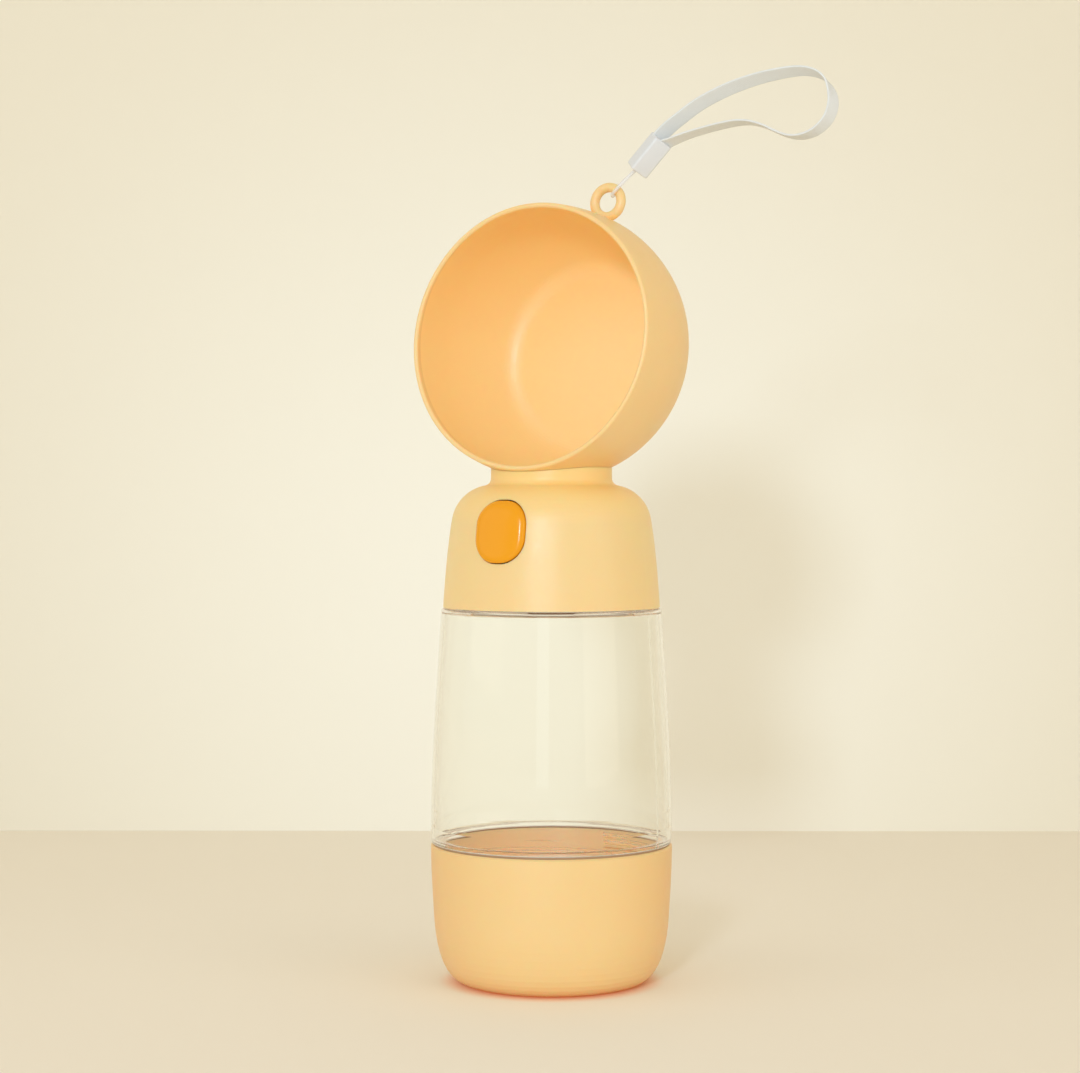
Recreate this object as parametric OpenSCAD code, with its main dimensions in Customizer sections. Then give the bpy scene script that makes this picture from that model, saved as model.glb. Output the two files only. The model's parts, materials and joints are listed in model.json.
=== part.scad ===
/* [Food cup] */
// Height of the cup from its base to its rim
cup_h = 41.4; // [38:0.2:60]
// Outer radius of the rim, which the tank above it shares
cup_r = 36.2; // [35:0.1:42]
// Radius of the flat base
base_r = 25; // [20:0.5:29]
// Height at which the rounded foot runs out into the side
foot_h = 20; // [14:0.5:24]
// How much the side draws in from the rim to the foot
cup_draw = 0.9; // [0.4:0.1:2]
// Wall of the cup
cup_wall = 1.8; // [1.6:0.1:3]
// Floor of the cup
cup_floor = 2.4; // [1.6:0.1:4]
// Wall at the threaded rim
rim_wall = 1.9; // [1.8:0.1:3]

/* [Water tank] */
// Height of the clear wall
tank_h = 70; // [50:1:100]
// Outer radius at the top of the clear wall
tank_top_r = 33; // [31.5:0.1:35]
// Wall of the tank
tank_wall = 1.2; // [1:0.1:2]
// Floor of the tank, at the lower end of its spigot
tank_floor = 1.4; // [1:0.1:3]
// Thickness of the ledge between the clear wall and the spigot
tank_ledge = 1; // [0.8:0.1:2]
// Length of the spigot that screws into the cup
spigot_h = 8; // [7.5:0.1:10]
// Wall of the spigot
spigot_wall = 1.2; // [1:0.1:2]
// Outer radius of the neck, without its thread
neck_r = 26.8; // [25.5:0.1:27.2]
// Height of the neck
neck_h = 9.1; // [8.6:0.1:11]
// Wall of the neck
neck_wall = 2.2; // [1.6:0.1:3]

/* [Screw threads] */
// Rise of one turn
pitch = 4; // [3.6:0.1:4.4]
// Height of a ridge above the wall that carries it
ridge_h = 1; // [0.8:0.1:1.2]
// Width of a ridge at its root
ridge_w = 1.5; // [1.2:0.1:1.7]
// Room between a ridge and the wall opposite
thread_gap = 0.3; // [0.25:0.05:0.4]

/* [Seals] */
// Thickness of the seal on the cup's rim
cup_seal_t = 0.7; // [0.5:0.1:1.5]
// Thickness of the seal on the tank's neck
neck_seal_t = 0.8; // [0.5:0.1:1.5]

/* [Upper housing] */
// Gap between the tank's shoulder and the housing
housing_gap = 0.3; // [0.2:0.1:1]
// How far the housing's lower edge stands in from the tank's side
housing_step = 0.5; // [0:0.1:1]
// Height from the lower edge to the top of the shoulder
housing_h = 36.6; // [36:0.2:46]
// Widest radius of the rounded shoulder
shoulder_r = 30; // [29.6:0.1:31]
// Radius of the shoulder's rounding
shoulder_round = 12.3; // [10:0.1:13]
// Wall of the housing
housing_wall = 1.8; // [1.4:0.1:2.2]
// Outer radius of the housing's neck, on which the bowl sits
collar_r = 18.15; // [17.5:0.05:20]
// Height of that neck above the shoulder, up to the bowl
collar_h = 5.2; // [4.6:0.1:8]
// Wall of that neck
collar_wall = 1.95; // [1.5:0.05:2.2]

/* [Drinking bowl] */
// Outer radius of the bowl's sphere
bowl_r = 41.1; // [38:0.1:46]
// Wall of the bowl
bowl_wall = 1.5; // [1.2:0.1:2.2]
// Distance from the sphere's centre forward to the rim
rim_ahead = 14.5; // [8:0.5:17]
// Radius of the flatter curve from the sphere's centre forward to the rim
mouth_curve = 90; // [60:1:120]
// Distance from the sphere's centre back to the flat bottom
bottom_back = 28.8; // [26:0.2:31]
// How far the bowl's opening leans back, in degrees
bowl_tilt = 7; // [0:0.5:12]
// Inner radius of the water outlet
outlet_r = 6; // [4.5:0.1:6.5]

/* [Eyelet and strap] */
// Radius of the eyelet's hole
eyelet_hole_r = 3; // [2.9:0.05:3.3]
// Thickness of the eyelet's round band
eyelet_band = 2.86; // [2.5:0.02:3]
// Distance of the eyelet's centre outside the bowl's sphere
eyelet_out = 4.3; // [3.8:0.1:4.8]
// Angle of the eyelet from the top of the bowl, in degrees
eyelet_angle = 21.2; // [10:0.2:40]
// Thickness of the thin cord
cord_d = 1; // [0.8:0.05:1.2]
// Width of the flat ribbon
ribbon_w = 5; // [3:0.1:5.2]
// Thickness of the ribbon
ribbon_t = 0.6; // [0.5:0.05:1]
// Length of the clip
clip_l = 11.7; // [10:0.1:16]
// Width of the clip
clip_w = 5.6; // [5.4:0.1:8]
// Thickness of the clip
clip_t = 5; // [3.6:0.1:6]

/* [Button] */
// Width of the button
button_w = 16; // [14:0.1:18]
// Height of the button
button_h = 18.1; // [17:0.1:19]
// Corner radius of the button's outline
button_corner = 7.2; // [6:0.1:7.8]
// Height of the button's centre above the housing's lower edge
button_up = 22.9; // [22.2:0.1:24]
// How far the button stands proud of the housing
button_proud = 1.3; // [0.8:0.1:2]
// Skin of the hollow button
button_wall = 1.5; // [1.2:0.1:2]
// Room round the button in its opening
button_gap = 0.3; // [0.3:0.05:0.5]
// Travel of the button
button_travel = 3; // [2:0.1:3.4]

/* [Valve] */
// Travel of the valve
valve_travel = 2.4; // [1.6:0.1:2.7]
// Radius of the button's plunger
plunger_r = 3; // [2.8:0.05:3.2]
// Radius of the valve's stem
stem_r = 2.05; // [1.8:0.05:2.2]
// Radius of the water hole in the chassis
seat_r = 7; // [6:0.1:8]
// How far the plug overlaps the rim of the water hole
plug_lap = 1.6; // [1:0.1:2.4]
// Thickness of the plug
plug_t = 2.4; // [1.6:0.1:3]
// Room round a sliding rod
slide_gap = 0.05; // [0.03:0.01:0.08]

/* [Chassis] */
// Wall of the threaded skirt
skirt_wall = 1.55; // [1.3:0.05:1.8]
// Thickness of the plate above the neck
plate_t = 2; // [1.8:0.1:2.6]
// Inner radius of the water chamber
chamber_r = 11.2; // [10.6:0.1:12]
// Wall of the water chamber
chamber_wall = 1.8; // [1.4:0.1:2.2]

/* [Hidden] */
$fn = 96;

apricot = "#f3cf8c";
orange_gloss = "#f7a528";
silicone = "#e9e6de";
white_plastic = "#f1f0ea";
steel = "#b9bdc2";
clear = [0.93, 0.95, 0.94, 0.4];

// Shared small sizes
fit = 0.05; // room between two pieces that are pressed together
corner = 0.5; // rounding of a moulded edge
far = 60; // longer than any cut needs to be
past = 1; // how far a cut runs past the face it opens, and a joined piece into the next
ring_step = 8; // degrees between the ridge sections of a screw thread
ridge_sink = 0.4; // how deep a ridge stands in its wall

// Heights, from the base up
tank_z = cup_h + cup_seal_t;
tank_top_z = tank_z + tank_h;
neck_top_z = tank_top_z + neck_h;
plate_z = neck_top_z + neck_seal_t;
housing_z = tank_top_z + housing_gap;
shoulder_z = housing_z + housing_h;
collar_top_z = shoulder_z + collar_h;
bowl_z = collar_top_z + sqrt(pow(bowl_r, 2) - pow(collar_r, 2));
button_z = housing_z + button_up;

// Radii of the cup's screw joint
cup_bore_r = cup_r - rim_wall;
spigot_r = cup_bore_r - thread_gap - ridge_h;
rim_zone = spigot_h + 3;

// Radii of the neck's screw joint
skirt_bore_r = neck_r + ridge_h + thread_gap;
skirt_r = skirt_bore_r + skirt_wall;
skirt_z = housing_z + corner;
housing_bore_r = skirt_r + fit;
male_turns = 1.25;
neck_ridge_z = tank_top_z + pitch / 2 + ridge_w / 8;
spigot_ridge_z = tank_z - spigot_h + ridge_w * 0.75;

// Handles of the curves of the cup's, the tank's and the housing's outline
foot_reach = 6.5;
foot_tuck = 0.7;
foot_rise = 0.4;
side_lean = 0.4;
side_lead = 7;
rim_lead = 7.5;
rim_slope = 1.5;
tank_low = 0.37;
tank_high = 0.73;
tank_lean = 1.2;
housing_low = [-0.4, 7.6];
housing_lead = 7;

// Seals
rim_inset = 0.9; // from the tank's side to the seal on the cup's rim
seal_room = 0.1;
outlet_seal_t = 1.4;

// Housing
shoulder_c = [shoulder_r - shoulder_round, shoulder_z - shoulder_round];
arc_start = 10;
arc_end = 78;
collar_fillet = 2.2;
collar_in_r = collar_r - collar_wall;
rib_t = 1.5;
rib_in = 1.8;
guide_wall = 1.2;
guide_back = 24.6;

// Button and plunger
web_t = 1.8;
boss_r = 5;
boss_back = 28;
peg_r = 2;
peg_l = 1.5;
peg_room = 0.2;
flange_t = 1.2;
flange_r = 5.5;
tab_h = 6;
tab_out = 1.1;
tab_t = 1.2;

// Valve: the plunger's slope meets the stem's slope on the centre line
slope = valve_travel / button_travel;
slope_angle = atan(slope);
slope_up = 1;
slope_z = button_z + slope_up;
tip_y = (plunger_r - slope_up) / slope;
disc_t = 1;
disc_room = 0.4;
disc_top_z = button_z - plunger_r - disc_room;
disc_r = 4.8;
nose_r = 2.4;
tail_r = 1.5;
arm_t = 1.2;
arm_w = 1.6;
hub_wall = 1.5;
hub_h = 4;
hub_r = stem_r + slide_gap + hub_wall;
retainer_r = 5;
retainer_t = 1.2;
tail_end = 0.6;

// Chamber, its side port and the outlet
chamber_out_r = chamber_r + chamber_wall;
port_r = 5.6;
port_front = 17;
port_clear = 0.35;
seal_d = 1.94;
seal_gap = 0.05;
groove_d = 2.5;
cap_t = 1;
cap_wall = 1.2;
cap_skirt = 2.5;
chamber_top_z = shoulder_z - 4.5;
outlet_wall = 2;
outlet_drop = 1.7;
outlet_z = chamber_top_z - outlet_drop;
outlet_out_r = outlet_r + outlet_wall;
bowl_spigot_wall = 1.9;

// Springs
wire_r = 0.25;
valve_spring_r = 4.25;
button_spring_r = 4.3;
coils = 5;

// Bowl, seen along its own axis; its side runs into the round lip at the angle lip_a
bottom_wall = 1.8;
fillet_out = 5;
fillet_in = 8;
lip = bowl_wall / 2;
lip_a = asin((rim_ahead - lip) / (mouth_curve - lip));
mouth_c = [bowl_r - mouth_curve, 0];
lip_c = mouth_c + (mouth_curve - lip) * [cos(lip_a), sin(lip_a)];
root = 0.8 * lip; // how deep the bowl's spigot, outlet and eyelet reach into its wall
eyelet_mid_r = eyelet_hole_r + eyelet_band / 2;
eyelet_c = (bowl_r + eyelet_out) * [sin(eyelet_angle), cos(eyelet_angle), 0];

// Strap, seen from the eyelet's centre: X right, Y back through the hole and Z up.
// Route of the thin cord: from the clip, through the eyelet and back
cord_route = [
  [12.3, -0.6, 11.8], [11.3, -0.6, 10.9], [10.2, -0.6, 9.9], [9.1, -0.6, 9],
  [8.1, -0.8, 8.1], [7.2, -1.2, 7], [6.3, -1.7, 5.8], [5.4, -2.2, 4.6],
  [4.4, -2.3, 3.7], [3.5, -2.2, 2.8], [2.1, -1.5, 1.9], [1.5, 0, 1.7],
  [1.1, 1.4, 2.5], [1.2, 2.2, 3.8], [1.8, 2.3, 4.9], [2.9, 2.2, 5.8],
  [4.3, 1.7, 6.8], [5.8, 1.2, 7.6], [7.2, 0.8, 8.5], [8.4, 0.6, 9.4],
  [9.5, 0.6, 10.2], [10.6, 0.6, 11.2], [11.7, 0.6, 12.2]
];

// Route of the ribbon: out of the clip, round the loop and back, as X, Z and its roll in degrees
ribbon_route = [
  [14.6, 16.2, -32], [16.6, 19, -29], [19.4, 21.5, -27], [23.2, 24.1, -26], [27.9, 27.1, -26],
  [33, 29.5, -26], [40.4, 32.1, -26], [49.7, 34.1, -23], [59.5, 34.9, -19.5], [65.3, 33.8, -16],
  [68.9, 31.3, -8], [70.9, 27.4, 9], [71.2, 23.5, 14], [69.7, 19.6, 12], [66.3, 16.7, 7],
  [62.2, 15.5, 2], [58.3, 15.8, -1], [54.2, 17.4, 0], [49.8, 19.5, 1], [44.9, 20.9, 2],
  [39.7, 21, 4], [32.7, 20, 4], [25.7, 18.6, 5], [19.9, 16.9, 10], [17.6, 16, 22],
  [15.4, 14.7, 32]
];
clip_base = [9.4, 0, 8.8];
clip_lean = 38.4;
clip_roll = -32;
clip_corner = 0.8;
strap_front = [0, -1, 0];

// Points of an arc about c, from angle a to angle b
function arc(c, r, a, b, n) = [
  for (i = [0 : n]) c + r * [cos(a + (b - a) * i / n), sin(a + (b - a) * i / n)]
];
// Points of a cubic curve
function curve(p0, p1, p2, p3, n) = [
  for (i = [0 : n]) let (t = i / n, s = 1 - t)
    s * s * s * p0 + 3 * s * s * t * p1 + 3 * s * t * t * p2 + t * t * t * p3
];
function unit(v) = v / norm(v);

// Outline of the cup's outside, drawn in by d and lifted by up at the base
function cup_side(d, up) = let (foot_r = cup_r - cup_draw) concat(
  curve(
    [base_r - d * 0.7, up], [base_r + foot_reach - d * 0.9, up],
    [foot_r - foot_tuck - d, foot_h * foot_rise + up * 0.6], [foot_r - d, foot_h], 12
  ),
  curve(
    [foot_r - d, foot_h], [foot_r + side_lean - d, foot_h + side_lead],
    [cup_r - d, cup_h - rim_lead], [cup_r - d, cup_h], 6
  )
);

// Outline of the tank's side, drawn in by d, from height z0 to z1
function tank_side(d, z0, z1) = let (rise = z1 - z0) curve(
  [cup_r - d, z0], [cup_r - d, z0 + rise * tank_low],
  [tank_top_r + tank_lean - d, z0 + rise * tank_high], [tank_top_r - d, z1], 16
);

// Outline of the housing from its lower edge to the shoulder, moved out by d
function housing_side(d) = let (
  start = shoulder_c + (shoulder_round + d) * [cos(arc_start), sin(arc_start)],
  lead = housing_lead * [sin(arc_start), -cos(arc_start)],
  low = [tank_top_r - housing_step + d, housing_z]
) concat(
  curve(low, low + housing_low, start + lead, start, 10),
  arc(shoulder_c, shoulder_round + d, arc_start, arc_end, 12)
);

// Centre of the fillet under the collar, which touches the shoulder's rounding from outside
fillet_c = [
  collar_r + collar_fillet,
  shoulder_c[1] + sqrt(
    pow(shoulder_round + collar_fillet, 2) - pow(collar_r + collar_fillet - shoulder_c[0], 2)
  )
];
fillet_a = atan2(fillet_c[1] - shoulder_c[1], fillet_c[0] - shoulder_c[0]);

// Outline of the bowl along its axis, drawn in by d, flat at -back and with corner radius f
function bowl_side(d, back, f) = let (
  corner_r = sqrt(pow(bowl_r - d - f, 2) - pow(back - f, 2)),
  low = atan2(f - back, corner_r)
) concat(
  [[0, -back]],
  arc([corner_r, f - back], f, -90, low, 8),
  arc([0, 0], bowl_r - d, low + 2, 0, 24),
  arc(mouth_c, mouth_curve - d, lip_a / 8, lip_a, 7)
);

// One ridge of a screw thread, from root to crest, on a wall at radius root
module ridge(root, crest, z, turns) {
  steps = ceil(360 * turns / ring_step);
  sink = root < crest ? -ridge_sink : ridge_sink;
  section = [
    [root + sink, -ridge_w / 2], [crest, -ridge_w / 4],
    [crest, ridge_w / 4], [root + sink, ridge_w / 2]
  ];
  points = [
    for (i = [0 : steps], s = section) let (a = 360 * turns * i / steps)
      [s[0] * cos(a), s[0] * sin(a), z + s[1] + pitch * a / 360]
  ];
  sides = [
    for (i = [0 : steps - 1], j = [0 : 3]) let (k = (j + 1) % 4)
      [4 * i + j, 4 * i + k, 4 * i + 4 + k, 4 * i + 4 + j]
  ];
  ends = [[3, 2, 1, 0], [for (j = [0 : 3]) 4 * steps + j]];
  flip = root < crest;
  faces = [
    for (f = concat(sides, ends)) flip ? f : [for (i = [len(f) - 1 : -1 : 0]) f[i]]
  ];
  polyhedron(points, faces);
}

// A round wire wound from z = 0 to z = length
module coil(mid_r, length) {
  sides = 6;
  per_turn = 16;
  steps = coils * per_turn;
  points = [
    for (i = [0 : steps], j = [0 : sides - 1]) let (
      a = 360 * i / per_turn, b = 360 * j / sides,
      r = mid_r + wire_r * cos(b)
    ) [
      r * cos(a), r * sin(a), wire_r + (length - 2 * wire_r) * i / steps + wire_r * sin(b)
    ]
  ];
  tube(points, steps, sides);
}

// Closes rings of points into one tube
module tube(points, steps, sides) {
  faces = concat(
    [
      for (i = [0 : steps - 1], j = [0 : sides - 1], half = [0, 1]) let (
        k = (j + 1) % sides, low = sides * i, high = low + sides
      )
        half == 0 ? [low + j, low + k, high + k] : [low + j, high + k, high + j]
    ],
    [
      [for (j = [sides - 1 : -1 : 0]) j],
      [for (j = [0 : sides - 1]) sides * steps + j]
    ]
  );
  polyhedron(points, faces);
}

// Direction of a route at its point i
function along(route, i) = unit(route[min(i + 1, len(route) - 1)] - route[max(i - 1, 0)]);

module food_cup() {
  outer = cup_side(0, 0);
  inner = cup_side(cup_wall, cup_floor);
  wall = concat(
    [[0, 0]],
    [for (p = outer) if (p[1] < cup_h - corner) p],
    [[cup_r, cup_h - corner], [cup_r - corner, cup_h], [cup_bore_r, cup_h]],
    [[cup_bore_r, cup_h - rim_zone]],
    [
      for (i = [len(inner) - 1 : -1 : 0])
        if (inner[i][1] < cup_h - rim_zone - rim_slope) inner[i]
    ],
    [[0, cup_floor]]
  );
  color(apricot) {
    rotate_extrude() polygon(wall);
    ridge(cup_bore_r, spigot_r + thread_gap, spigot_ridge_z - pitch / 2, male_turns);
  }
}

module food_cup_seal() {
  color(silicone)
    translate([0, 0, cup_h])
      linear_extrude(cup_seal_t) difference() {
        circle(cup_r - rim_inset);
        circle(cup_bore_r + seal_room);
      }
}

module water_tank() {
  neck_in_r = neck_r - neck_wall;
  spigot_in_r = spigot_r - spigot_wall;
  foot_z = tank_z - spigot_h; // the underside of the tank's floor
  low = tank_z + tank_ledge;
  high = tank_top_z - tank_wall;
  inner = tank_side(tank_wall, low, high);
  wall = concat(
    [[0, foot_z], [spigot_r, foot_z], [spigot_r, tank_z], [cup_r - corner / 2, tank_z]],
    [for (p = tank_side(0, tank_z, tank_top_z)) if (p[1] > tank_z && p[1] < tank_top_z) p],
    [[tank_top_r, tank_top_z - corner], [tank_top_r - corner, tank_top_z]],
    [[neck_r, tank_top_z], [neck_r, neck_top_z], [neck_in_r, neck_top_z], [neck_in_r, high]],
    arc([tank_top_r - tank_wall - corner, high - corner], corner, 90, 0, 4),
    [
      for (i = [len(inner) - 1 : -1 : 0])
        if (inner[i][1] > low + corner && inner[i][1] < high - corner) inner[i]
    ],
    arc([cup_r - tank_wall - corner, low + corner], corner, 0, -90, 4),
    [[spigot_in_r, low], [spigot_in_r, foot_z + tank_floor], [0, foot_z + tank_floor]]
  );
  color(clear) {
    rotate_extrude() polygon(wall);
    ridge(spigot_r, spigot_r + ridge_h, spigot_ridge_z, male_turns);
    ridge(neck_r, neck_r + ridge_h, neck_ridge_z, male_turns);
  }
}

module neck_seal() {
  color(silicone)
    translate([0, 0, neck_top_z])
      linear_extrude(neck_seal_t) difference() {
        circle(neck_r - seal_room);
        circle(neck_r - neck_wall);
      }
}

module valve_chassis() {
  color(white_plastic) {
    difference() {
      union() {
        translate([0, 0, skirt_z]) cylinder(r = skirt_r, h = plate_z + plate_t - skirt_z);
        translate([0, 0, plate_z]) cylinder(r = chamber_out_r, h = chamber_top_z - plate_z);
        translate([0, 0, button_z]) rotate([90, 0, 0]) cylinder(r = port_r, h = port_front);
      }
      translate([0, 0, skirt_z - past]) cylinder(r = skirt_bore_r, h = plate_z - skirt_z + past);
      translate([0, 0, plate_z - past]) cylinder(r = seat_r, h = far);
      translate([0, 0, plate_z + plate_t]) cylinder(r = chamber_r, h = far);
      translate([0, 0, button_z]) rotate([90, 0, 0]) {
        cylinder(r = plunger_r + port_clear, h = far);
        translate([0, 0, port_front - groove_d])
          cylinder(r = plunger_r + seal_gap + seal_d + fit, h = far);
      }
    }
    difference() {
      union() {
        translate([0, 0, plate_z]) cylinder(r = hub_r, h = hub_h);
        for (a = [90 : 120 : 330])
          rotate([0, 0, a])
            translate([0, -arm_w / 2, plate_z]) cube([seat_r + past / 2, arm_w, arm_t]);
      }
      translate([0, 0, plate_z - past]) cylinder(r = stem_r + slide_gap, h = hub_h + 2 * past);
    }
    ridge(skirt_bore_r, neck_r + thread_gap, neck_ridge_z + pitch / 2, 1);
  }
}

// The button's outline, grown by g
module button_outline(g) {
  w = button_w + 2 * g;
  h = button_h + 2 * g;
  r = button_corner + g;
  square([w - 2 * r, h], center = true);
  square([w, h - 2 * r], center = true);
  for (x = [-1, 1], y = [-1, 1]) translate([x * (w / 2 - r), y * (h / 2 - r)]) circle(r);
}

// The button's outline as a bar along -Y, from distance a to distance b
module button_bar(g, a, b) {
  translate([0, -a, button_z]) rotate([90, 0, 0]) linear_extrude(b - a) button_outline(g);
}

// Everything inside the housing's outside, moved out by d
module housing_body(d) {
  side = housing_side(d);
  low = housing_z - past;
  high = side[len(side) - 1][1];
  rotate_extrude() polygon(concat([[0, low], [side[0][0], low]], side, [[0, high]]));
}

module upper_housing() {
  outer = housing_side(0);
  inner = housing_side(-housing_wall);
  rib_z = plate_z + plate_t;
  top = collar_top_z + 2 * past;
  wall = concat(
    [[housing_bore_r, housing_z]],
    [for (p = outer) if (p[0] > fillet_c[0] + past) p],
    arc(fillet_c, collar_fillet, fillet_a + 180, 180, 6),
    [[collar_r, top], [collar_in_r, top], [collar_in_r, shoulder_z - housing_wall]],
    [
      for (i = [len(inner) - 1 : -1 : 0])
        if (inner[i][1] > rib_z + rib_t + past) inner[i]
    ],
    [[housing_bore_r, rib_z + rib_t], [housing_bore_r - rib_in, rib_z + rib_t]],
    [[housing_bore_r - rib_in, rib_z], [housing_bore_r, rib_z]]
  );
  color(apricot)
    difference() {
      union() {
        rotate_extrude() polygon(wall);
        intersection() {
          button_bar(button_gap + guide_wall, guide_back, far);
          housing_body(-housing_wall / 2);
        }
      }
      button_bar(button_gap, guide_back - 5 * past, far);
      bowl_body(fit);
    }
}

// Turns a shape that is drawn about +Z to the bowl's own axis
module on_bowl_axis() {
  translate([0, 0, bowl_z]) rotate([90 - bowl_tilt, 0, 0]) children();
}

// Everything inside the bowl's outside, moved out by g
module bowl_body(g) {
  side = bowl_side(-g, bottom_back + g, fillet_out + g);
  rim = arc(lip_c, lip + g, lip_a + 15, 90, 5);
  on_bowl_axis() rotate_extrude() polygon(concat(side, rim, [[0, lip_c[1] + lip + g]]));
}

module drinking_bowl() {
  outside = bowl_side(0, bottom_back, fillet_out);
  inside = bowl_side(bowl_wall, bottom_back - bottom_wall, fillet_in);
  shell = concat(
    outside,
    arc(lip_c, lip, lip_a + 15, lip_a + 165, 8),
    [for (i = [len(inside) - 1 : -1 : 0]) inside[i]]
  );
  floor_z = bowl_z - bowl_r;
  color(apricot)
    difference() {
      union() {
        on_bowl_axis() rotate_extrude() polygon(shell);
        difference() {
          union() {
            bowl_spigot();
            translate([0, 0, outlet_z]) cylinder(r = outlet_out_r, h = floor_z + past - outlet_z);
            eyelet();
          }
          bowl_body(-root);
        }
      }
      translate([0, 0, outlet_z - past]) cylinder(r = outlet_r, h = floor_z + 4 * past - outlet_z);
    }
}

// The short tube that plugs the bowl into the housing's neck
module bowl_spigot() {
  low = shoulder_z - housing_wall + housing_gap;
  difference() {
    translate([0, 0, low]) cylinder(r = collar_in_r - fit, h = collar_top_z - low);
    translate([0, 0, low - past]) cylinder(r = collar_in_r - bowl_spigot_wall, h = far);
  }
}

// The round ring that carries the strap
module eyelet() {
  on_bowl_axis() translate(eyelet_c)
    rotate_extrude() translate([eyelet_mid_r, 0]) circle(eyelet_band / 2, $fn = 48);
}

// Moves a shape that is drawn in the strap's own place to the eyelet's centre
module at_eyelet() {
  on_bowl_axis() translate(eyelet_c) rotate([-90, 0, 0]) children();
}

module outlet_seal() {
  color(silicone)
    translate([0, 0, outlet_z + seal_room])
      linear_extrude(outlet_seal_t) difference() {
        circle(chamber_r - fit);
        circle(outlet_out_r + fit);
      }
}

module push_button() {
  back = guide_back - fit - tab_t;
  color(orange_gloss) {
    difference() {
      union() {
        difference() {
          intersection() {
            button_bar(0, back, far);
            housing_body(button_proud);
          }
          intersection() {
            button_bar(-button_wall, back - past, far);
            housing_body(button_proud - web_t);
          }
        }
        intersection() {
          rod(boss_r, boss_back, far);
          housing_body(button_proud - web_t / 2);
        }
      }
      rod(peg_r, 0, boss_back + peg_l + peg_room);
    }
    for (x = [-1, 1])
      translate([x * (button_w + tab_out - past) / 2, -back - tab_t / 2, button_z])
        cube([tab_out + past, tab_t, tab_h], center = true);
  }
}

// A rod along -Y at the button's height, from distance a to distance b
module rod(r, a, b) {
  translate([0, -a, button_z]) rotate([90, 0, 0]) cylinder(r = r, h = b - a);
}

module button_plunger() {
  color(white_plastic)
    difference() {
      union() {
        rod(plunger_r, -tip_y, boss_back);
        rod(flange_r, boss_back - flange_t, boss_back);
        rod(peg_r - fit, boss_back - past, boss_back + peg_l);
      }
      translate([0, 0, slope_z]) rotate([slope_angle, 0, 0])
        translate([-far / 2, -far, -far]) cube([far, 2 * far, far]);
    }
}

module button_spring() {
  front = boss_back - flange_t;
  back = port_front + cap_t;
  color(steel)
    translate([0, -back, button_z]) rotate([90, 0, 0]) coil(button_spring_r, front - back);
}

module plunger_seal() {
  mid = plunger_r + seal_gap + seal_d / 2;
  color(silicone)
    translate([0, -(port_front - groove_d / 2), button_z]) rotate([90, 0, 0])
      rotate_extrude() translate([mid, 0]) circle(seal_d / 2, $fn = 24);
}

module seal_cap() {
  color(white_plastic)
    difference() {
      rod(port_r + fit + cap_wall, port_front - cap_skirt, port_front + cap_t);
      rod(port_r + fit, port_front - cap_skirt - past, port_front);
      rod(plunger_r + port_clear, 0, far);
    }
}

module valve_stem() {
  color(white_plastic) {
    difference() {
      translate([0, 0, disc_top_z - disc_t / 2])
        cylinder(r = nose_r, h = slope_z - disc_top_z + nose_r * slope + past);
      translate([0, 0, slope_z - fit]) rotate([slope_angle, 0, 0])
        translate([-far / 2, -far, 0]) cube([far, 2 * far, far]);
    }
    translate([0, 0, disc_top_z - disc_t]) cylinder(r = disc_r, h = disc_t);
    translate([0, 0, plate_z]) cylinder(r = stem_r, h = disc_top_z - plate_z);
    tail_z = plate_z - plug_t - retainer_t - tail_end;
    translate([0, 0, tail_z]) cylinder(r = tail_r, h = plate_z - tail_z + past);
  }
}

module valve_plug() {
  color(silicone)
    translate([0, 0, plate_z - plug_t])
      linear_extrude(plug_t) difference() {
        circle(seat_r + plug_lap);
        circle(tail_r);
      }
}

module plug_retainer() {
  color(white_plastic)
    translate([0, 0, plate_z - plug_t - retainer_t])
      linear_extrude(retainer_t) difference() {
        circle(retainer_r);
        circle(tail_r);
      }
}

module valve_spring() {
  seat_z = plate_z + arm_t;
  color(steel)
    translate([0, 0, seat_z]) coil(valve_spring_r, disc_top_z - disc_t - seat_z);
}

module strap_cord() {
  sides = 8;
  across = [cos(clip_lean), 0, -sin(clip_lean)];
  points = [
    for (i = [0 : len(cord_route) - 1]) let (
      t = along(cord_route, i),
      s = unit(cross(t, across)),
      c = cross(s, t)
    )
      for (j = [0 : sides - 1]) let (b = 360 * j / sides)
        cord_route[i] + cord_d / 2 * (s * cos(b) + c * sin(b))
  ];
  color(white_plastic) at_eyelet() tube(points, len(cord_route) - 1, sides);
}

module strap_ribbon() {
  section = [
    [-0.5, -0.25], [-0.42, -0.5], [0.42, -0.5], [0.5, -0.25],
    [0.5, 0.25], [0.42, 0.5], [-0.42, 0.5], [-0.5, 0.25]
  ];
  middle = [for (p = ribbon_route) [p[0], 0, p[1]]];
  points = [
    for (i = [0 : len(middle) - 1]) let (
      t = along(middle, i),
      b = unit(cross(t, strap_front)),
      n = cross(b, t),
      a = ribbon_route[i][2],
      wide = n * cos(a) + b * sin(a),
      thick = b * cos(a) - n * sin(a)
    )
      for (s = section) middle[i] + wide * s[0] * ribbon_w + thick * s[1] * ribbon_t
  ];
  color(white_plastic) at_eyelet() tube(points, len(middle) - 1, len(section));
}

module strap_clip() {
  r = clip_corner;
  color(white_plastic)
    at_eyelet() translate(clip_base) rotate([0, clip_lean, 0]) rotate([0, 0, clip_roll])
      linear_extrude(clip_l) {
        square([clip_t - 2 * r, clip_w], center = true);
        square([clip_t, clip_w - 2 * r], center = true);
        for (x = [-1, 1], y = [-1, 1])
          translate([x * (clip_t / 2 - r), y * (clip_w / 2 - r)]) circle(r);
      }
}

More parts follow.
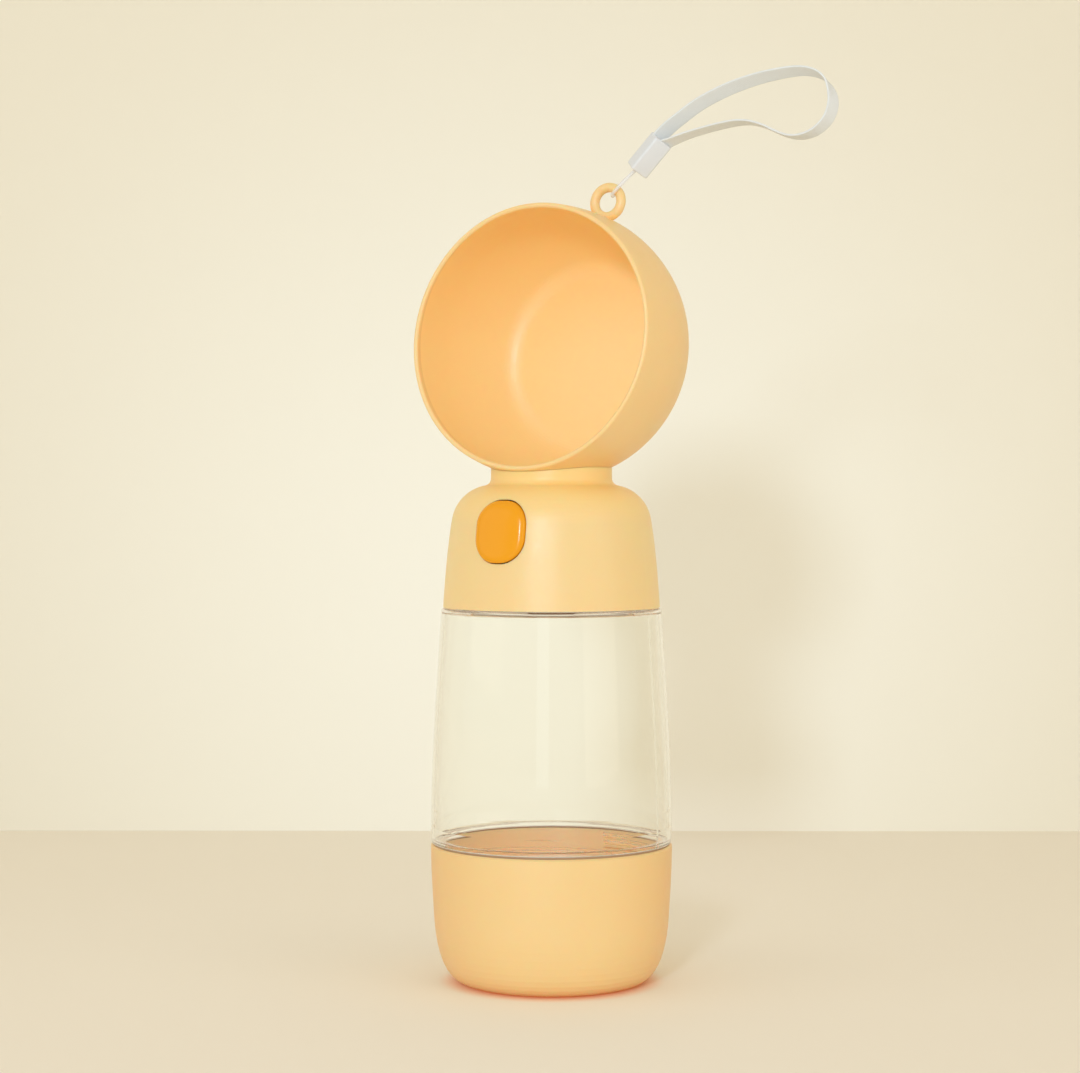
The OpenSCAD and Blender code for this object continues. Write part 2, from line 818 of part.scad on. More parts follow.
food_cup();
food_cup_seal();
water_tank();
neck_seal();
valve_chassis();
upper_housing();
drinking_bowl();
outlet_seal();
push_button();
button_plunger();
button_spring();
plunger_seal();
seal_cap();
valve_stem();
valve_plug();
plug_retainer();
valve_spring();
strap_cord();
strap_clip();
strap_ribbon();
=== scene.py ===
import json
import math

import bmesh
import bpy
from mathutils import Matrix, Vector
from mathutils.bvhtree import BVHTree


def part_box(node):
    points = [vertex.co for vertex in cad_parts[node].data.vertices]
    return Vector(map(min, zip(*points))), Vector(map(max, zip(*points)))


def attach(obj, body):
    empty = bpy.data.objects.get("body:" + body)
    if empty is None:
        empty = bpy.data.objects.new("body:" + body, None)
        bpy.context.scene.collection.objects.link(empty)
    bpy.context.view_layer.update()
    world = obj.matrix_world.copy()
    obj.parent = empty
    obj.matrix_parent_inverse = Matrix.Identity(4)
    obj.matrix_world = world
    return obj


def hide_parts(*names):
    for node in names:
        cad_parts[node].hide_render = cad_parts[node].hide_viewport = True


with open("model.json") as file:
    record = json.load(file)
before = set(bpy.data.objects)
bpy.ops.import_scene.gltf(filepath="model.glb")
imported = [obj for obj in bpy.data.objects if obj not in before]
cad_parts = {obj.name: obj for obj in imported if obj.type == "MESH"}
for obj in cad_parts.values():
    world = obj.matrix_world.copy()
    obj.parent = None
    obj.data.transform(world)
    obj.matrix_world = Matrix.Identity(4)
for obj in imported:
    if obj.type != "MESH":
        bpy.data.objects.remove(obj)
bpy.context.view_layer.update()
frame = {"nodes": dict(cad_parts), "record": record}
nodes = frame["nodes"]
MM = 0.001


# ---- Camera: level with the housing's shoulder, 30 degrees to the right of the button ----

# Fitted to the photo, with the focal length in pixels of its width
SENSOR = 36
IMAGE_WIDTH = 1080
FOCAL_PIXELS = 2524
CAMERA_NEAREST = 0.01
CAMERA_AZIMUTH = math.radians(30)
CAMERA_DISTANCE = 0.757
CAMERA_HEIGHT = 0.148
CAMERA_PITCH = math.radians(-1.10)
CAMERA_YAW = math.radians(0.261)


def toward(azimuth, distance, height=0.0):
    """The point at that azimuth from the object's axis: 0 is straight in front, 90 to its right."""
    return Vector((math.sin(azimuth) * distance, -math.cos(azimuth) * distance, height))


def make_camera():
    data = bpy.data.cameras.new("camera")
    data.sensor_width = SENSOR
    data.lens = FOCAL_PIXELS / IMAGE_WIDTH * SENSOR
    data.clip_start = CAMERA_NEAREST
    camera = bpy.data.objects.new("camera", data)
    camera.location = toward(CAMERA_AZIMUTH, CAMERA_DISTANCE, CAMERA_HEIGHT)
    camera.rotation_euler = (math.pi / 2 + CAMERA_PITCH, 0, CAMERA_AZIMUTH + CAMERA_YAW)
    bpy.context.scene.collection.objects.link(camera)
    bpy.context.scene.camera = camera


make_camera()


# ---- Mesh helpers ----


def add_object(name, data, body):
    obj = bpy.data.objects.new(name, data)
    bpy.context.scene.collection.objects.link(obj)
    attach(obj, body)
    return obj


def ring_mesh(name, rings, uvs=None):
    """A closed tube through rings of as many points each, with flat ends."""
    around = len(rings[0])
    mesh = bmesh.new()
    verts = [[mesh.verts.new(p) for p in ring] for ring in rings]
    layer = mesh.loops.layers.uv.new("UVMap") if uvs else None
    for i in range(len(rings) - 1):
        for j in range(around):
            k = (j + 1) % around
            face = mesh.faces.new((verts[i][j], verts[i][k], verts[i + 1][k], verts[i + 1][j]))
            face.smooth = True
            if uvs:
                corners = ((i, j), (i, j + 1), (i + 1, j + 1), (i + 1, j))
                for loop, (a, b) in zip(face.loops, corners):
                    loop[layer].uv = uvs(a, b)
    mesh.faces.new(verts[0][::-1])
    mesh.faces.new(verts[-1])
    bmesh.ops.recalc_face_normals(mesh, faces=mesh.faces)
    data = bpy.data.meshes.new(name)
    mesh.to_mesh(data)
    mesh.free()
    return data


def rounded_outline(width, height, corner, steps):
    """A rectangle with round corners about the origin, as points in counter-clockwise order."""
    points = []
    for i, (sx, sy) in enumerate(((1, 1), (-1, 1), (-1, -1), (1, -1))):
        for j in range(steps + 1):
            a = math.pi / 2 * (i + j / steps)
            x, y = sx * (width / 2 - corner), sy * (height / 2 - corner)
            points.append((x + corner * math.cos(a), y + corner * math.sin(a)))
    return points


def smooth_route(points, steps):
    """A Catmull-Rom curve through the points, with that many steps between neighbours."""
    points = [Vector(p) for p in points]
    ends = [2 * points[0] - points[1], *points, 2 * points[-1] - points[-2]]
    result = []
    for a, b, c, d in zip(ends, ends[1:], ends[2:], ends[3:]):
        for i in range(steps):
            t = i / steps
            result.append(
                0.5 * ((2 * b) + (c - a) * t + (2 * a - 5 * b + 4 * c - d) * t**2
                       + (3 * b - a - 3 * c + d) * t**3)
            )
    result.append(points[-1])
    return result


def route_length(points):
    return sum((b - a).length for a, b in zip(points, points[1:]))


def directions(points):
    """The curve's direction at each of its points."""
    before = [points[0], *points[:-1]]
    after = [*points[1:], points[-1]]
    return [(b - a).normalized() for a, b in zip(before, after)]


# ---- Strap: a thin cord through the eyelet, a clip and a flat ribbon ----

# Places round the eyelet's centre are (right, back through its hole, up), in millimetres
EYELET = next(m for m in frame["record"]["mounts"] if m["name"] == "strap_eyelet")
EYELET_CENTRE = Vector(EYELET["pos_m"])
RIGHT = Vector((1, 0, 0))
FRONT = Vector(EYELET["axis"])
UP = FRONT.cross(RIGHT)

# From the clip, down through the eyelet and back
CORD_ROUTE = [
    (12.3, -0.6, 11.8), (11.3, -0.6, 10.9), (10.2, -0.6, 9.9), (9.1, -0.6, 9),
    (8.1, -0.8, 8.1), (7.2, -1.2, 7), (6.3, -1.7, 5.8), (5.4, -2.2, 4.6),
    (4.4, -2.3, 3.7), (3.5, -2.2, 2.8), (2.1, -1.5, 1.9), (1.5, 0, 1.7),
    (1.1, 1.4, 2.5), (1.2, 2.2, 3.8), (1.8, 2.3, 4.9), (2.9, 2.2, 5.8),
    (4.3, 1.7, 6.8), (5.8, 1.2, 7.6), (7.2, 0.8, 8.5), (8.4, 0.6, 9.4),
    (9.5, 0.6, 10.2), (10.6, 0.6, 11.2), (11.7, 0.6, 12.2),
]
# Out of the clip, round the loop and back: (right, up, the ribbon's roll in degrees)
RIBBON_ROUTE = [
    (14.6, 16.2, -32), (16.6, 19, -29), (19.4, 21.5, -27), (23.2, 24.1, -26), (27.9, 27.1, -26),
    (33, 29.5, -26), (40.4, 32.1, -26), (49.7, 34.1, -23), (59.5, 34.9, -19.5), (65.3, 33.8, -16),
    (68.9, 31.3, -8), (70.9, 27.4, 9), (71.2, 23.5, 14), (69.7, 19.6, 12), (66.3, 16.7, 7),
    (62.2, 15.5, 2), (58.3, 15.8, -1), (54.2, 17.4, 0), (49.8, 19.5, 1), (44.9, 20.9, 2),
    (39.7, 21, 4), (32.7, 20, 4), (25.7, 18.6, 5), (19.9, 16.9, 10), (17.6, 16, 22),
    (15.4, 14.7, 32),
]
ROUTE_STEPS = 8
CORD_DIAMETER = 1.0 * MM
CORD_SIDES = 16
# The cord's rings are laid out from this direction, roughly square to it: right and up
CORD_SIDE = (0.78, -0.62)
RIBBON_WIDTH = 5.0 * MM
RIBBON_THICKNESS = 0.6 * MM
RIBBON_POINTS = 9
RIBBON_EDGE = [math.radians(a) for a in (60, 30, 0, -30, -60)]
# The selvedges are as thick as the ribbon, and what lies between them is thinner
SELVEDGE_FROM = 0.8
BETWEEN_SELVEDGES = 0.86


def at_eyelet(right, back, up):
    return EYELET_CENTRE + MM * (right * RIGHT - back * FRONT + up * UP)


def make_cord():
    path = smooth_route([at_eyelet(*p) for p in CORD_ROUTE], ROUTE_STEPS)
    side = (CORD_SIDE[0] * RIGHT + CORD_SIDE[1] * UP).normalized()
    angles = [2 * math.pi * j / CORD_SIDES for j in range(CORD_SIDES)]
    rings = []
    for p, t in zip(path, directions(path)):
        s = t.cross(side).normalized()
        c = s.cross(t)
        rings.append([p + CORD_DIAMETER / 2 * (s * math.cos(a) + c * math.sin(a)) for a in angles])
    length = route_length(path)
    step = length / (len(path) - 1)
    data = ring_mesh("thin_cord", rings, lambda i, j: (i * step / MM, j / CORD_SIDES))
    obj = add_object("thin_cord", data, "strap")
    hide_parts("strap_cord")
    return obj, path, length


def ribbon_section():
    """The ribbon's outline: flat faces, round edges and slightly thicker selvedges."""
    edge = 0.5 * RIBBON_THICKNESS
    flat = 0.5 * RIBBON_WIDTH - edge
    shares = [-1 + 2 * i / (RIBBON_POINTS - 1) for i in range(RIBBON_POINTS)]
    top = [(u * flat, edge if abs(u) > SELVEDGE_FROM else edge * BETWEEN_SELVEDGES) for u in shares]
    turn = [(flat + edge * math.cos(a), edge * math.sin(a)) for a in RIBBON_EDGE]
    half = [*top, *turn]
    return half + [(-x, -y) for x, y in half]


def make_ribbon():
    path = smooth_route([at_eyelet(right, 0, up) for right, up, roll in RIBBON_ROUTE], ROUTE_STEPS)
    rolls = smooth_route([(roll, 0, 0) for right, up, roll in RIBBON_ROUTE], ROUTE_STEPS)
    section = ribbon_section()
    rings = []
    for p, t, roll in zip(path, directions(path), rolls):
        thin = t.cross(FRONT).normalized()
        wide = thin.cross(t)
        a = math.radians(roll.x)
        across = wide * math.cos(a) + thin * math.sin(a)
        through = thin * math.cos(a) - wide * math.sin(a)
        rings.append([p + across * u + through * v for u, v in section])
    length = route_length(path)
    step = length / (len(path) - 1)
    lap = [0.0]
    for a, b in zip(section, [*section[1:], section[0]]):
        lap.append(lap[-1] + math.dist(a, b))
    data = ring_mesh("flat_ribbon", rings, lambda i, j: (i * step / MM, lap[j] / MM))
    obj = add_object("flat_ribbon", data, "strap")
    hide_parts("strap_ribbon")
    return obj, path, length


# The clip's lower end, its lean to the right and its turn about its own length
CLIP_BASE = (9.1, 0, 9.0)
CLIP_LEAN = math.radians(41.9)
CLIP_ROLL = math.radians(-36)
CLIP_LENGTH = 11.7 * MM
CLIP_WIDTH, CLIP_HEIGHT, CLIP_CORNER = 5.8 * MM, 6.1 * MM, 0.8 * MM
CLIP_CORNER_STEPS = 8
CLIP_END = 0.45 * MM
CLIP_END_TURNS = [math.radians(a) for a in (0, 22, 45, 68, 90)]


def make_clip():
    """The moulded clip, with round edges at both ends."""
    along = math.sin(CLIP_LEAN) * RIGHT + math.cos(CLIP_LEAN) * UP
    flat = math.cos(CLIP_LEAN) * RIGHT - math.sin(CLIP_LEAN) * UP
    thick = math.cos(CLIP_ROLL) * flat - math.sin(CLIP_ROLL) * FRONT
    wide = -math.sin(CLIP_ROLL) * flat - math.cos(CLIP_ROLL) * FRONT
    ends = [(CLIP_END * (1 - math.cos(a)), CLIP_END * (1 - math.sin(a))) for a in CLIP_END_TURNS]
    stations = [*ends, *[(CLIP_LENGTH - up, inset) for up, inset in reversed(ends)]]
    rings = []
    for up, inset in stations:
        outline = rounded_outline(
            CLIP_WIDTH - 2 * inset, CLIP_HEIGHT - 2 * inset, CLIP_CORNER - inset, CLIP_CORNER_STEPS
        )
        middle = at_eyelet(*CLIP_BASE) + along * up
        rings.append([middle + thick * u + wide * v for u, v in outline])
    obj = add_object("clip", ring_mesh("clip", rings), "strap")
    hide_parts("strap_clip")
    return obj


cord, cord_path, cord_length = make_cord()
ribbon, ribbon_path, ribbon_length = make_ribbon()
clip = make_clip()


# ---- Button: a hollow cap whose front follows the housing, with a rounded rim ----

BUTTON_WIDTH, BUTTON_CORNER = 16.2 * MM, 7.3 * MM
BUTTON_CORNER_STEPS = 14
BUTTON_WALL = 1.5 * MM
RIM_WIDTH, RIM_DROP = 1.7 * MM, 0.9 * MM
RIM_TURNS = [math.radians(a) for a in (90, 80, 70, 60, 50, 40, 30, 20)]
# Rings across the face, as shares of its outline, so that it follows the housing's curve
FACE_SCALES = (0.98, 0.9, 0.75, 0.6, 0.45, 0.3, 0.15, 0.05)
# The cap is slightly wider than the solid, so its outermost rings look for it a little further in
EDGE_ZONE = 0.2 * MM
EDGE_SHARE = 0.99
# The rays that look for the solid's front start ahead of the whole object
RAYS_FROM = -0.1


def surface_of(node):
    mesh = node.data
    faces = [p.vertices[:] for p in mesh.polygons]
    return BVHTree.FromPolygons([v.co for v in mesh.vertices], faces)


def make_button():
    low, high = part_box("push_button")
    surface = surface_of(nodes["push_button"])
    height, middle = high[2] - low[2], (high[2] + low[2]) / 2
    inward = Vector((0, 1, 0))

    def ring(inset, depth=None, scale=1.0):
        """A ring at that depth under the front, or at the back where depth is None."""
        share = EDGE_SHARE if inset < EDGE_ZONE else 1.0
        outline = rounded_outline(
            BUTTON_WIDTH - 2 * inset, height - 2 * inset, BUTTON_CORNER - inset, BUTTON_CORNER_STEPS
        )
        points = []
        for x, z in outline:
            x, z = x * scale, z * scale
            hit = surface.ray_cast(Vector((x * share, RAYS_FROM, middle + z * share)), inward)[0]
            points.append(Vector((x, high[1] if depth is None else hit.y + depth, middle + z)))
        return points

    inner = [ring(BUTTON_WALL, BUTTON_WALL, scale) for scale in reversed(FACE_SCALES)]
    rim = [ring(RIM_WIDTH * (1 - math.sin(a)), RIM_DROP * (1 - math.cos(a))) for a in RIM_TURNS]
    face = [ring(RIM_WIDTH, 0, scale) for scale in FACE_SCALES]
    rings = [*inner, ring(BUTTON_WALL), ring(0), *rim, *face]
    obj = add_object("button_cap", ring_mesh("button_cap", rings), "button")
    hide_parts("push_button")
    return obj


button_cap = make_button()


# ---- Shader helpers ----

NOISE_RANGE = (0.3, 0.7)


def linear(code):
    """A colour written as sRGB hex, as the linear colour that Blender takes."""
    values = [int(code[i:i + 2], 16) / 255 for i in (1, 3, 5)]
    return (*[v / 12.92 if v <= 0.04045 else ((v + 0.055) / 1.055) ** 2.4 for v in values], 1)


def add_node(tree, kind, settings=None, **inputs):
    """A new node; an input is a value or another node's output, and i0 is input number 0."""
    node = tree.nodes.new(kind)
    for name, value in (settings or {}).items():
        setattr(node, name, value)
    for name, value in inputs.items():
        numbered = name[0] == "i" and name[1:].isdigit()
        socket = node.inputs[int(name[1:]) if numbered else name]
        if isinstance(value, bpy.types.NodeSocket):
            tree.links.new(value, socket)
        else:
            socket.default_value = value
    return node


def math_node(tree, operation, first, second):
    settings = {"operation": operation}
    return add_node(tree, "ShaderNodeMath", settings, i0=first, i1=second).outputs[0]


def vector_node(tree, operation, *inputs):
    """The outputs of a vector operation: a vector in Vector or a number in Value."""
    numbered = {f"i{number}": value for number, value in enumerate(inputs)}
    return add_node(tree, "ShaderNodeVectorMath", {"operation": operation}, **numbered).outputs


def mix_colours(tree, factor, first, second):
    settings = {"data_type": "RGBA"}
    return add_node(tree, "ShaderNodeMix", settings, i0=factor, i6=first, i7=second).outputs[2]


def ramp(tree, value, low, high, start=0.0, end=1.0, settings=None):
    """From start where the value is low to end where it is high."""
    node = add_node(tree, "ShaderNodeMapRange", settings, Value=value)
    ends = {"From Min": low, "From Max": high, "To Min": start, "To Max": end}
    for name, number in ends.items():
        node.inputs[name].default_value = number
    return node.outputs["Result"]


def object_place(tree):
    return add_node(tree, "ShaderNodeTexCoord").outputs["Object"]


def noise(tree, scale, detail=2.0):
    place = object_place(tree)
    node = add_node(tree, "ShaderNodeTexNoise", Vector=place, Scale=scale, Detail=detail)
    return node.outputs["Fac"]


def new_material(name, roughness, **constants):
    """A material with its node tree and its shader; constants are named with _ for a space."""
    mat = bpy.data.materials.new(name)
    mat.use_nodes = True
    shader = mat.node_tree.nodes["Principled BSDF"]
    shader.inputs["Roughness"].default_value = roughness
    for key, value in constants.items():
        shader.inputs[key.replace("_", " ")].default_value = value
    return mat, mat.node_tree, shader


def vary_roughness(tree, shader, factor, low, high):
    """Runs the roughness from low to high as the factor goes over a noise's usual range."""
    tree.links.new(ramp(tree, factor, *NOISE_RANGE, low, high), shader.inputs["Roughness"])


def tint(tree, shader, factor, first, second):
    colour = mix_colours(tree, factor, linear(first), linear(second))
    tree.links.new(colour, shader.inputs["Base Color"])


def blend_in(mat, factor, colour):
    """Puts a colour over the material's own where the factor is 1."""
    tree = mat.node_tree
    base = tree.nodes["Principled BSDF"].inputs["Base Color"]
    tree.links.new(mix_colours(tree, factor, base.links[0].from_socket, colour), base)
    return mat


def bump(tree, shader, height, strength, distance):
    node = add_node(tree, "ShaderNodeBump", Height=height, Strength=strength, Distance=distance)
    tree.links.new(node.outputs["Normal"], shader.inputs["Normal"])


def surface_from(tree, shader):
    tree.links.new(shader.outputs[0], tree.nodes["Material Output"].inputs["Surface"])


# ---- Materials ----

GRAIN_HEIGHT = 0.05 * MM
WEAVE_HEIGHT = 0.1 * MM
# A ray that has turned more often than this goes straight on through the clear plastic
GLASS_DEPTH = 3.5
# How far the painted light inside reaches: from the middle of the bowl or the cup to outside its
# wall, but not to the eyelet
INSIDE_REACH = 43 * MM
# Shares of the housing's height where the neck's painted bounce light starts and where it is full
NECK_PAINTED_BOUNCE = (0.6, 0.85)
# How much the wall is seen at a slant where the painted side shading starts and where it is full
SIDE_SHADING_SLANT = (0.15, 0.85)


def satin_plastic(name, first, second, roughness, **constants):
    """Moulded plastic: a fine even grain, faint clouds of colour and a slightly uneven sheen."""
    mat, tree, shader = new_material(name, roughness, **constants)
    tint(tree, shader, noise(tree, scale=35), first, second)
    sheen = noise(tree, scale=260, detail=3)
    vary_roughness(tree, shader, sheen, low=roughness - 0.04, high=roughness + 0.05)
    bump(tree, shader, noise(tree, scale=3800), strength=0.12, distance=GRAIN_HEIGHT)
    return mat


def clear_plastic(name):
    """Clear plastic that bends what is seen through it, and lets the lamps' light through."""
    mat, tree, shader = new_material(
        name, roughness=0.02, Transmission_Weight=1, IOR=1.45, Specular_Tint=(0.4, 0.4, 0.4, 1)
    )
    tint(tree, shader, noise(tree, scale=20), "#fffffd", "#fdfefb")
    vary_roughness(tree, shader, noise(tree, scale=120, detail=3), low=0.0, high=0.02)
    path = add_node(tree, "ShaderNodeLightPath").outputs
    light = math_node(tree, "MAXIMUM", path["Is Shadow Ray"], path["Is Diffuse Ray"])
    deep = math_node(tree, "GREATER_THAN", path["Ray Depth"], GLASS_DEPTH)
    straight = math_node(tree, "MAXIMUM", light, deep)
    clear = add_node(tree, "ShaderNodeBsdfTransparent", Color=linear("#fefcfd")).outputs[0]
    mix = add_node(tree, "ShaderNodeMixShader", i0=straight, i1=shader.outputs[0], i2=clear)
    surface_from(tree, mix)
    return mat


def glossy_plastic(name, first, second):
    mat, tree, shader = new_material(name, roughness=0.2, Specular_IOR_Level=0.35)
    tint(tree, shader, noise(tree, scale=60), first, second)
    vary_roughness(tree, shader, noise(tree, scale=300, detail=3), low=0.16, high=0.24)
    bump(tree, shader, noise(tree, scale=900), strength=0.03, distance=GRAIN_HEIGHT)
    return mat


def rubber(name, first, second):
    mat, tree, shader = new_material(name, roughness=0.55)
    tint(tree, shader, noise(tree, scale=120), first, second)
    vary_roughness(tree, shader, noise(tree, scale=700, detail=3), low=0.5, high=0.62)
    bump(tree, shader, noise(tree, scale=5000), strength=0.2, distance=GRAIN_HEIGHT)
    return mat


def steel_wire(name, first, second):
    mat, tree, shader = new_material(name, roughness=0.28, Metallic=1.0)
    tint(tree, shader, noise(tree, scale=300), first, second)
    vary_roughness(tree, shader, noise(tree, scale=900, detail=3), low=0.22, high=0.36)
    return mat


def weave(name, first, second, ribs, picks):
    """Woven fabric: ribs across the piece and picks along it, from its UV map in millimetres."""
    mat, tree, shader = new_material(name, roughness=0.75)
    uv = add_node(tree, "ShaderNodeUVMap").outputs["UV"]

    def wave(direction, scale):
        settings = {"wave_type": "BANDS", "wave_profile": "SIN", "bands_direction": direction}
        return add_node(tree, "ShaderNodeTexWave", settings, Vector=uv, Scale=scale).outputs["Fac"]

    grid = math_node(tree, "MULTIPLY", wave("X", picks), wave("Y", ribs))
    fuzz = noise(tree, scale=4000, detail=3)
    height = math_node(tree, "ADD", grid, fuzz)
    tint(tree, shader, height, first, second)
    vary_roughness(tree, shader, fuzz, low=0.7, high=0.85)
    bump(tree, shader, height, strength=0.5, distance=WEAVE_HEIGHT)
    return mat


def painted_light_inside(mat, low, high, colour, painted_top_colour):
    """Puts painted light, the colour of light through a thin wall, on the faces that look towards
    the box's centre.

    It is one colour up to mid height, and runs to another at the box's top; where that one is
    deeper, it is painted shade under the rim.
    """
    centre = (low + high) / 2
    tree = mat.node_tree
    place = add_node(tree, "ShaderNodeTexCoord").outputs
    from_centre = vector_node(tree, "SUBTRACT", place["Object"], centre)["Vector"]
    facing = vector_node(tree, "DOT_PRODUCT", from_centre, place["Normal"])["Value"]
    away = vector_node(tree, "LENGTH", from_centre)["Value"]
    inward = math_node(tree, "LESS_THAN", facing, 0.0)
    near = math_node(tree, "LESS_THAN", away, INSIDE_REACH)
    height = add_node(tree, "ShaderNodeSeparateXYZ", Vector=place["Object"]).outputs["Z"]
    rise = ramp(tree, height, centre.z, high.z)
    painted_inside_colour = mix_colours(tree, rise, linear(colour), linear(painted_top_colour))
    return blend_in(mat, math_node(tree, "MULTIPLY", inward, near), painted_inside_colour)


def painted_neck_bounce(mat, low, high, colour):
    """Painted bounce light: a warmer colour towards the neck, where the bowl throws its light back.
    """
    tree = mat.node_tree
    height = add_node(tree, "ShaderNodeSeparateXYZ", Vector=object_place(tree)).outputs["Z"]
    start, full = (low.z + share * (high.z - low.z) for share in NECK_PAINTED_BOUNCE)
    return blend_in(mat, ramp(tree, height, start, full), linear(colour))


def painted_side_shading(mat, colour):
    """Paints another colour where the wall is seen at a slant: painted shading on the sides."""
    slant = add_node(mat.node_tree, "ShaderNodeLayerWeight", Blend=0.5).outputs["Facing"]
    return blend_in(mat, ramp(mat.node_tree, slant, *SIDE_SHADING_SLANT), linear(colour))


body = satin_plastic("apricot_plastic", "#efcd8e", "#f0d092", roughness=0.44,
                     Specular_IOR_Level=0.9, Subsurface_Weight=0.4, Subsurface_Scale=3 * MM)
MATERIALS = {
    "body_shell": body,
    "clear_tank": clear_plastic("clear_plastic"),
    "silicone": rubber("silicone_rubber", "#a58465", "#ab8a6b"),
    "inner_plastic": satin_plastic("white_plastic", "#efeee8", "#f3f2ed", roughness=0.4),
    "button_gloss": glossy_plastic("orange_gloss", "#ec9c08", "#eea00c"),
    "spring_steel": steel_wire("spring_steel", "#b8bcc0", "#c6c9cc"),
    "strap_fabric": weave("woven_ribbon", "#d4d9dd", "#eceff1", ribs=1.6, picks=1.3),
    "strap_clip_plastic": satin_plastic("clip_plastic", "#dadde3", "#dfe2e7", roughness=0.38),
}


def finish_with(obj, mat):
    obj.data.materials.clear()
    obj.data.materials.append(mat)


def corners_of(name):
    return [Vector(corner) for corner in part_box(name)]


def bowl_plastic():
    """Painted light inside, with painted shade deepening its colour towards the top."""
    box = corners_of("drinking_bowl")
    return painted_light_inside(body.copy(), *box, colour="#ffdd9c", painted_top_colour="#ffd085")


def cup_plastic():
    """Painted shade on the sides, and one colour of painted light all over the inside."""
    outside = painted_side_shading(body.copy(), "#eec385")
    box = corners_of("food_cup")
    return painted_light_inside(outside, *box, colour="#ffdda6", painted_top_colour="#ffdda6")


def housing_plastic():
    """Painted light on the sides, and painted bounce light towards the neck."""
    sides = painted_side_shading(body.copy(), "#f7d79a")
    box = corners_of("upper_housing")
    return painted_neck_bounce(sides, *box, colour="#ffd388")


thread = satin_plastic("clear_thread", "#f0f1f4", "#f4f5f8", roughness=0.35, Alpha=0.5)
for part in frame["record"]["subparts"]:
    finish_with(nodes[part["node"]], MATERIALS[part["material_slot"]])
finish_with(nodes["drinking_bowl"], bowl_plastic())
finish_with(nodes["food_cup"], cup_plastic())
finish_with(nodes["upper_housing"], housing_plastic())
finish_with(cord, thread)
finish_with(ribbon, MATERIALS["strap_fabric"])
finish_with(clip, MATERIALS["strap_clip_plastic"])
finish_with(button_cap, MATERIALS["button_gloss"])


# ---- Stage: a floor and a wall behind the object ----

STAGE_SIZE = 6.0
STAGE_ROUGHNESS = 0.9
# Painted pools of light: the floor and the wall are painted lighter round one point and darker out
# to this reach
PAINTED_POOL_REACH = 0.36
FLOOR_COLOURS = ("#f6efe2", "#f1e9da")
WALL_COLOURS = ("#f8f8f0", "#e9e3d2")
WALL_BEHIND = 0.33
# The height of the painted pool of light on the wall
WALL_PAINTED_LIGHT_HEIGHT = 0.11
ORIGIN = (0, 0, 0)
# The cup's painted light on the floor: a wide orange glow painted into the floor's colour and a
# thin glowing line, and how far they reach from its foot
FOOT_RADIUS = 26 * MM
FOOT_GLOW, FOOT_GLOW_COLOUR = 9 * MM, "#ffc6a2"
FOOT_LINE, FOOT_LINE_COLOUR = 3 * MM, "#ff9850"
FOOT_LINE_LIGHT = 0.3


def fading(tree, centre, start, reach):
    """From 0 within the start's distance of the centre to 1 at the reach's distance."""
    away = vector_node(tree, "DISTANCE", object_place(tree), centre)["Value"]
    return ramp(tree, away, start, reach, settings={"interpolation_type": "SMOOTHSTEP"})


def painted_foot_light(tree, shader):
    """Painted light: the orange light that the cup throws on the floor, painted into its colour and
    glowing in a thin line at its foot.
    """
    base = shader.inputs["Base Color"]
    # Painted bounce light: the floor's colour turns orange round the cup's foot
    glow = fading(tree, ORIGIN, FOOT_RADIUS, FOOT_RADIUS + FOOT_GLOW)
    plain = base.links[0].from_socket
    tree.links.new(mix_colours(tree, glow, linear(FOOT_GLOW_COLOUR), plain), base)
    line = fading(tree, ORIGIN, FOOT_RADIUS - FOOT_LINE, FOOT_RADIUS + FOOT_LINE)
    # Painted light: the floor glows orange in a thin line round the cup's foot, though it is no
    # lamp
    shader.inputs["Emission Color"].default_value = linear(FOOT_LINE_COLOUR)
    light = ramp(tree, line, 0, 1, FOOT_LINE_LIGHT, 0)
    tree.links.new(light, shader.inputs["Emission Strength"])


def stage_plane(name, matrix, colours, painted_light_centre):
    """A large plane with a painted pool of light round one point, that can't be seen from behind.
    """
    mesh = bmesh.new()
    bmesh.ops.create_grid(mesh, x_segments=1, y_segments=1, size=STAGE_SIZE / 2, matrix=matrix)
    data = bpy.data.meshes.new(name)
    mesh.to_mesh(data)
    mesh.free()
    obj = bpy.data.objects.new(name, data)
    bpy.context.scene.collection.objects.link(obj)
    mat, tree, shader = new_material(name, STAGE_ROUGHNESS)
    # Painted pool of light: the first colour round the centre fades to the second
    tint(tree, shader, fading(tree, painted_light_centre, 0.0, PAINTED_POOL_REACH), *colours)
    clear = add_node(tree, "ShaderNodeBsdfTransparent").outputs[0]
    back = add_node(tree, "ShaderNodeNewGeometry").outputs["Backfacing"]
    mix = add_node(tree, "ShaderNodeMixShader", i0=back, i1=shader.outputs[0], i2=clear)
    surface_from(tree, mix)
    finish_with(obj, mat)
    return tree, shader


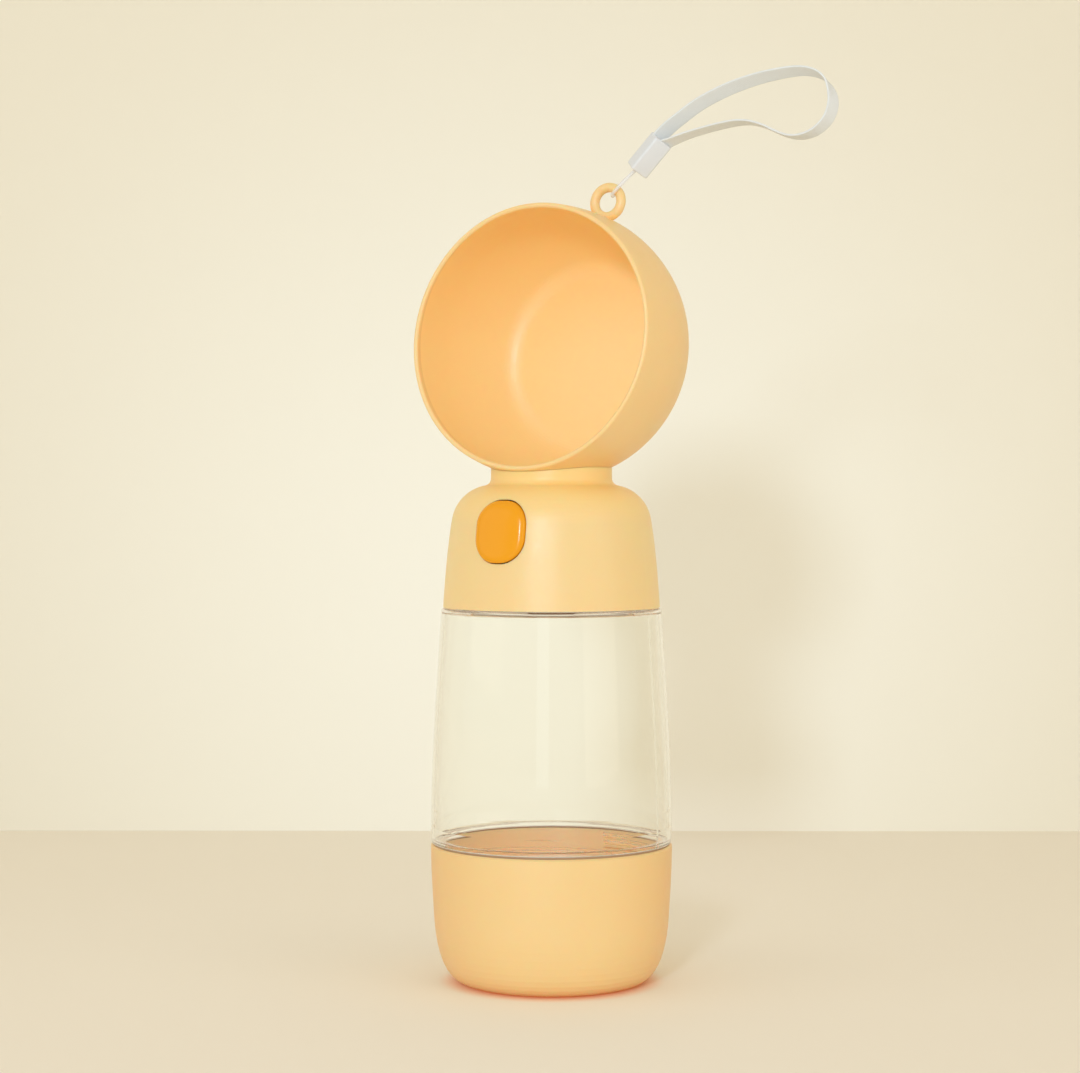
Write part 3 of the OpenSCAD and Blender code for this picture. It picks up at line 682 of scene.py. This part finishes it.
def make_stage():
    tree, shader = stage_plane("floor", Matrix.Identity(4), FLOOR_COLOURS, ORIGIN)
    painted_foot_light(tree, shader)
    place = Matrix.Translation(toward(CAMERA_AZIMUTH, -WALL_BEHIND, STAGE_SIZE / 2))
    upright = Matrix.Rotation(math.pi / 2, 4, "X")
    turn = Matrix.Rotation(CAMERA_AZIMUTH, 4, "Z") @ upright
    painted_light_centre = toward(CAMERA_AZIMUTH, -WALL_BEHIND, WALL_PAINTED_LIGHT_HEIGHT)
    stage_plane("wall", place @ turn, WALL_COLOURS, painted_light_centre)


make_stage()


# ---- Light: a small key lamp and a strip in front, a soft lamp at each side, and a surround ----

LAMP_TARGET = Vector((0, 0, 0.13))
SURROUND_COLOUR, SURROUND_STRENGTH = "#fff5e1", 0.73


def area_light(name, azimuth, distance, height, size, power, colour):
    data = bpy.data.lights.new(name, "AREA")
    data.shape = "RECTANGLE"
    data.size, data.size_y = size
    data.energy = power
    data.color = linear(colour)[:3]
    lamp = bpy.data.objects.new(name, data)
    lamp.location = toward(math.radians(azimuth), distance, height)
    lamp.rotation_euler = (LAMP_TARGET - lamp.location).to_track_quat("-Z", "Y").to_euler()
    bpy.context.scene.collection.objects.link(lamp)


def make_light():
    world = bpy.data.worlds.new("surround")
    world.use_nodes = True
    background = world.node_tree.nodes["Background"]
    background.inputs["Color"].default_value = linear(SURROUND_COLOUR)
    background.inputs["Strength"].default_value = SURROUND_STRENGTH
    bpy.context.scene.world = world
    area_light("key", azimuth=18, distance=1.5, height=0.54, size=(0.17, 0.17),
               power=7.4, colour="#d6eaff")
    area_light("soft_box", azimuth=-40, distance=1.3, height=0.6, size=(1.0, 1.0),
               power=1.6, colour="#fffaf0")
    area_light("strip", azimuth=21.6, distance=1.4, height=0.3, size=(0.3, 1.1),
               power=1.4, colour="#dcefff")
    area_light("fill", azimuth=80, distance=1.2, height=0.35, size=(0.8, 0.8),
               power=2.0, colour="#fff8ee")


make_light()
bpy.context.scene.view_settings.view_transform = "Standard"
